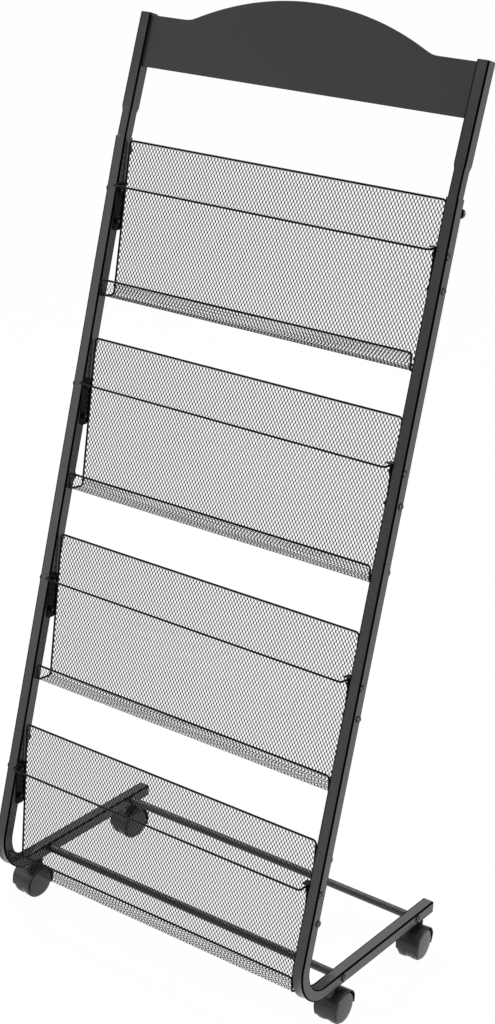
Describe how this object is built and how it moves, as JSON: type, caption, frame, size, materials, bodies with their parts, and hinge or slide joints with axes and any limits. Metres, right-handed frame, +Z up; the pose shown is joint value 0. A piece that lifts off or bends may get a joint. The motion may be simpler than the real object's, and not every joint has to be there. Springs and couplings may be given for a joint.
{
  "type": "periodical display rack",
  "caption": "Leaning floor rack for magazines: square-tube posts with bent feet, arched header, mesh baskets with retaining rods, cross bars and swivel casters.",
  "frame": {"origin": "on the floor, in the middle of the rack's width and depth", "axes": "+Z up, +X to the rack's right as seen from the front, +Y to the back"},
  "size_m": [0.5892, 0.3419, 1.3548],
  "materials": {
    "frame_coat": "satin charcoal powder coat on steel tube",
    "header_coat": "satin charcoal powder coat on sheet steel",
    "wire_coat": "black powder coat on steel wire",
    "mesh_coat": "black powder coat on diamond mesh",
    "screw_zinc": "black zinc plated",
    "stem_steel": "plated steel",
    "hood_plastic": "moulded black nylon",
    "wheel_plastic": "moulded dark grey nylon"
  },
  "bodies": {
    "frame": {"j_foot_left": "frame_coat", "middle_tube_left": "frame_coat", "upper_tube_left": "frame_coat", "header_leg_left": "frame_coat", "j_foot_right": "frame_coat", "middle_tube_right": "frame_coat", "upper_tube_right": "frame_coat", "header_leg_right": "frame_coat", "header_panel": "header_coat", "cross_bar_front": "frame_coat", "bar_bolt_front_left": "screw_zinc", "bar_bolt_front_right": "screw_zinc", "cross_bar_rear": "frame_coat", "bar_bolt_rear_left": "screw_zinc", "bar_bolt_rear_right": "screw_zinc", "rim_frame_1": "wire_coat", "mesh_tray_1": "mesh_coat", "retaining_rod_1": "wire_coat", "basket_bolt_1_upper_left": "screw_zinc", "basket_bolt_1_lower_left": "screw_zinc", "basket_bolt_1_upper_right": "screw_zinc", "basket_bolt_1_lower_right": "screw_zinc", "rim_frame_2": "wire_coat", "mesh_tray_2": "mesh_coat", "retaining_rod_2": "wire_coat", "basket_bolt_2_upper_left": "screw_zinc", "basket_bolt_2_lower_left": "screw_zinc", "basket_bolt_2_upper_right": "screw_zinc", "basket_bolt_2_lower_right": "screw_zinc", "rim_frame_3": "wire_coat", "mesh_tray_3": "mesh_coat", "retaining_rod_3": "wire_coat", "basket_bolt_3_upper_left": "screw_zinc", "basket_bolt_3_lower_left": "screw_zinc", "basket_bolt_3_upper_right": "screw_zinc", "basket_bolt_3_lower_right": "screw_zinc", "rim_frame_4": "wire_coat", "mesh_tray_4": "mesh_coat", "retaining_rod_4": "wire_coat", "basket_bolt_4_upper_left": "screw_zinc", "basket_bolt_4_lower_left": "screw_zinc", "basket_bolt_4_upper_right": "screw_zinc", "basket_bolt_4_lower_right": "screw_zinc", "caster_front_left_stem": "stem_steel", "caster_front_right_stem": "stem_steel", "caster_rear_left_stem": "stem_steel", "caster_rear_right_stem": "stem_steel"},
    "hood_front_left": {"caster_front_left_hood": "hood_plastic"},
    "wheel_a_front_left": {"caster_front_left_wheel_a": "wheel_plastic"},
    "wheel_b_front_left": {"caster_front_left_wheel_b": "wheel_plastic"},
    "hood_front_right": {"caster_front_right_hood": "hood_plastic"},
    "wheel_a_front_right": {"caster_front_right_wheel_a": "wheel_plastic"},
    "wheel_b_front_right": {"caster_front_right_wheel_b": "wheel_plastic"},
    "hood_rear_left": {"caster_rear_left_hood": "hood_plastic"},
    "wheel_a_rear_left": {"caster_rear_left_wheel_a": "wheel_plastic"},
    "wheel_b_rear_left": {"caster_rear_left_wheel_b": "wheel_plastic"},
    "hood_rear_right": {"caster_rear_right_hood": "hood_plastic"},
    "wheel_a_rear_right": {"caster_rear_right_wheel_a": "wheel_plastic"},
    "wheel_b_rear_right": {"caster_rear_right_wheel_b": "wheel_plastic"}
  },
  "joints": [
    {"name": "swivel_front_left", "type": "hinge", "parent": "frame", "child": "hood_front_left", "pos_m": [-0.272, -0.08404, 0.045], "axis": [0, 0, 1], "continuous": true},
    {"name": "roll_a_front_left", "type": "hinge", "parent": "hood_front_left", "child": "wheel_a_front_left", "pos_m": [-0.27291, -0.09701, 0.025], "axis": [-0.9976, 0.0698, 0], "continuous": true},
    {"name": "roll_b_front_left", "type": "hinge", "parent": "hood_front_left", "child": "wheel_b_front_left", "pos_m": [-0.27291, -0.09701, 0.025], "axis": [-0.9976, 0.0698, 0], "continuous": true},
    {"name": "swivel_front_right", "type": "hinge", "parent": "frame", "child": "hood_front_right", "pos_m": [0.272, -0.08404, 0.045], "axis": [0, 0, 1], "continuous": true},
    {"name": "roll_a_front_right", "type": "hinge", "parent": "hood_front_right", "child": "wheel_a_front_right", "pos_m": [0.27155, -0.07105, 0.025], "axis": [0.9994, 0.0349, 0], "continuous": true},
    {"name": "roll_b_front_right", "type": "hinge", "parent": "hood_front_right", "child": "wheel_b_front_right", "pos_m": [0.27155, -0.07105, 0.025], "axis": [0.9994, 0.0349, 0], "continuous": true},
    {"name": "swivel_rear_left", "type": "hinge", "parent": "frame", "child": "hood_rear_left", "pos_m": [-0.272, 0.14896, 0.045], "axis": [0, 0, 1], "continuous": true},
    {"name": "roll_a_rear_left", "type": "hinge", "parent": "hood_rear_left", "child": "wheel_a_rear_left", "pos_m": [-0.27336, 0.13603, 0.025], "axis": [-0.9945, 0.1045, 0], "continuous": true},
    {"name": "roll_b_rear_left", "type": "hinge", "parent": "hood_rear_left", "child": "wheel_b_rear_left", "pos_m": [-0.27336, 0.13603, 0.025], "axis": [-0.9945, 0.1045, 0], "continuous": true},
    {"name": "swivel_rear_right", "type": "hinge", "parent": "frame", "child": "hood_rear_right", "pos_m": [0.272, 0.14896, 0.045], "axis": [0, 0, 1], "continuous": true},
    {"name": "roll_a_rear_right", "type": "hinge", "parent": "hood_rear_right", "child": "wheel_a_rear_right", "pos_m": [0.27336, 0.13603, 0.025], "axis": [-0.9945, -0.1045, 0], "continuous": true},
    {"name": "roll_b_rear_right", "type": "hinge", "parent": "hood_rear_right", "child": "wheel_b_rear_right", "pos_m": [0.27336, 0.13603, 0.025], "axis": [-0.9945, -0.1045, 0], "continuous": true}
  ]
}
